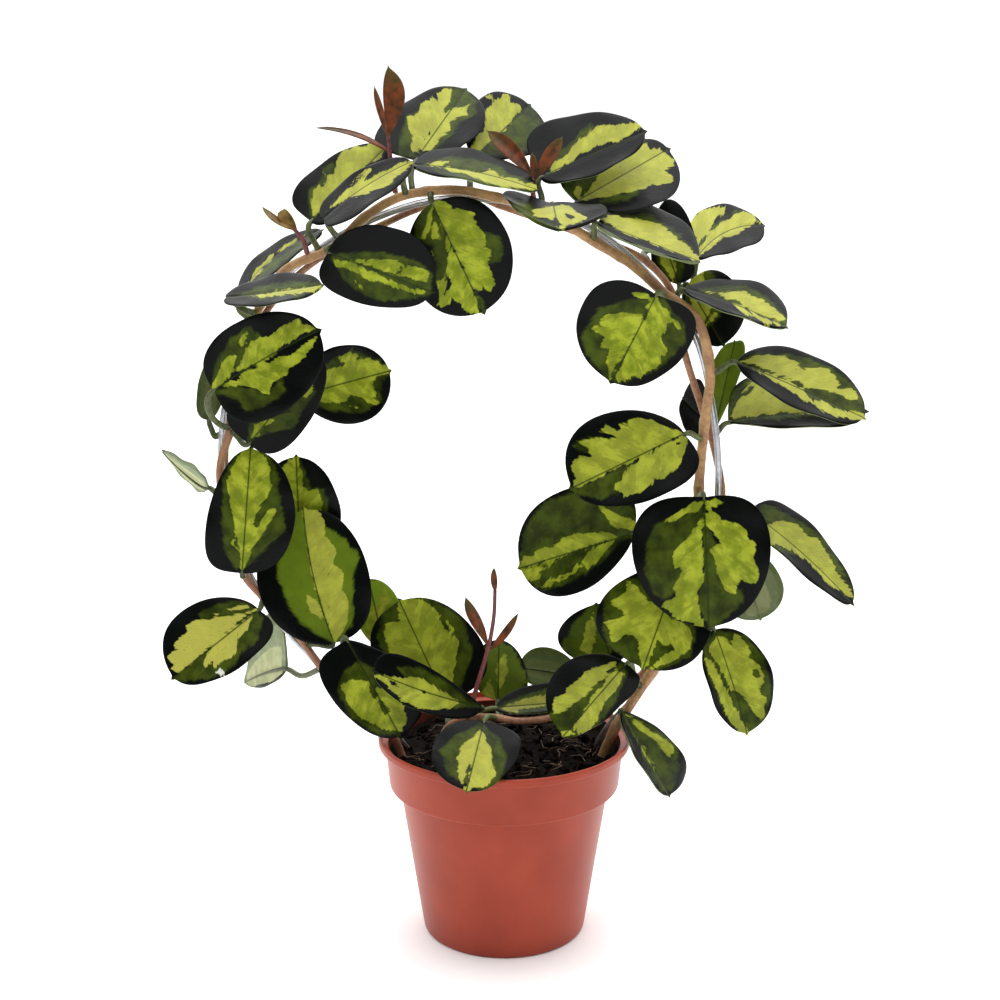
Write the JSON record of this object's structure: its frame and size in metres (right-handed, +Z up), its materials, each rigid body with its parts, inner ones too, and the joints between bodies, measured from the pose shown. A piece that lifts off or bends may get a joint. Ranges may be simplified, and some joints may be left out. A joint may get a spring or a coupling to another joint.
{
  "type": "potted climbing wax plant",
  "caption": "Variegated wax vine trained round a wire hoop, rooted in a round terracotta-coloured plastic nursery pot.",
  "frame": {"origin": "centre of the pot's base, where it stands on the floor", "axes": "+Z up along the pot's axis, -Y towards the front of the hoop, +X to the right seen from the front"},
  "size_m": [0.3274, 0.1318, 0.4077],
  "materials": {
    "pot_plastic": "satin",
    "potting_mix": "matte",
    "wire": "satin",
    "bark": "matte",
    "leaf": "satin",
    "young_shoot": "satin"
  },
  "bodies": {
    "root": {"pot": "pot_plastic", "soil": "potting_mix", "hoop_wire": "wire", "stem_a": "bark", "stem_b": "bark", "leaf_01": "leaf", "leaf_02": "leaf", "leaf_03": "leaf", "leaf_04": "leaf", "leaf_05": "leaf", "leaf_06": "leaf", "leaf_07": "leaf", "leaf_08": "leaf", "leaf_09": "leaf", "leaf_10": "leaf", "leaf_11": "leaf", "leaf_12": "leaf", "leaf_13": "leaf", "leaf_14": "leaf", "leaf_15": "leaf", "leaf_16": "leaf", "leaf_17": "leaf", "leaf_18": "leaf", "leaf_19": "leaf", "leaf_20": "leaf", "leaf_21": "leaf", "leaf_22": "leaf", "leaf_23": "leaf", "leaf_24": "leaf", "leaf_25": "leaf", "leaf_26": "leaf", "leaf_27": "leaf", "leaf_28": "leaf", "leaf_29": "leaf", "leaf_30": "leaf", "leaf_31": "leaf", "leaf_32": "leaf", "leaf_33": "leaf", "leaf_34": "leaf", "leaf_35": "leaf", "leaf_36": "leaf", "leaf_37": "leaf", "leaf_38": "leaf", "leaf_39": "leaf", "leaf_40": "leaf", "leaf_41": "leaf", "leaf_42": "leaf", "leaf_43": "leaf", "leaf_44": "leaf", "leaf_45": "leaf", "leaf_46": "leaf", "leaf_47": "leaf", "leaf_48": "leaf", "leaf_49": "leaf", "leaf_50": "leaf", "leaf_51": "leaf", "shoot_top": "young_shoot", "shoot_left": "young_shoot", "shoot_right": "young_shoot", "shoot_bottom": "young_shoot"}
  },
  "joints": []
}
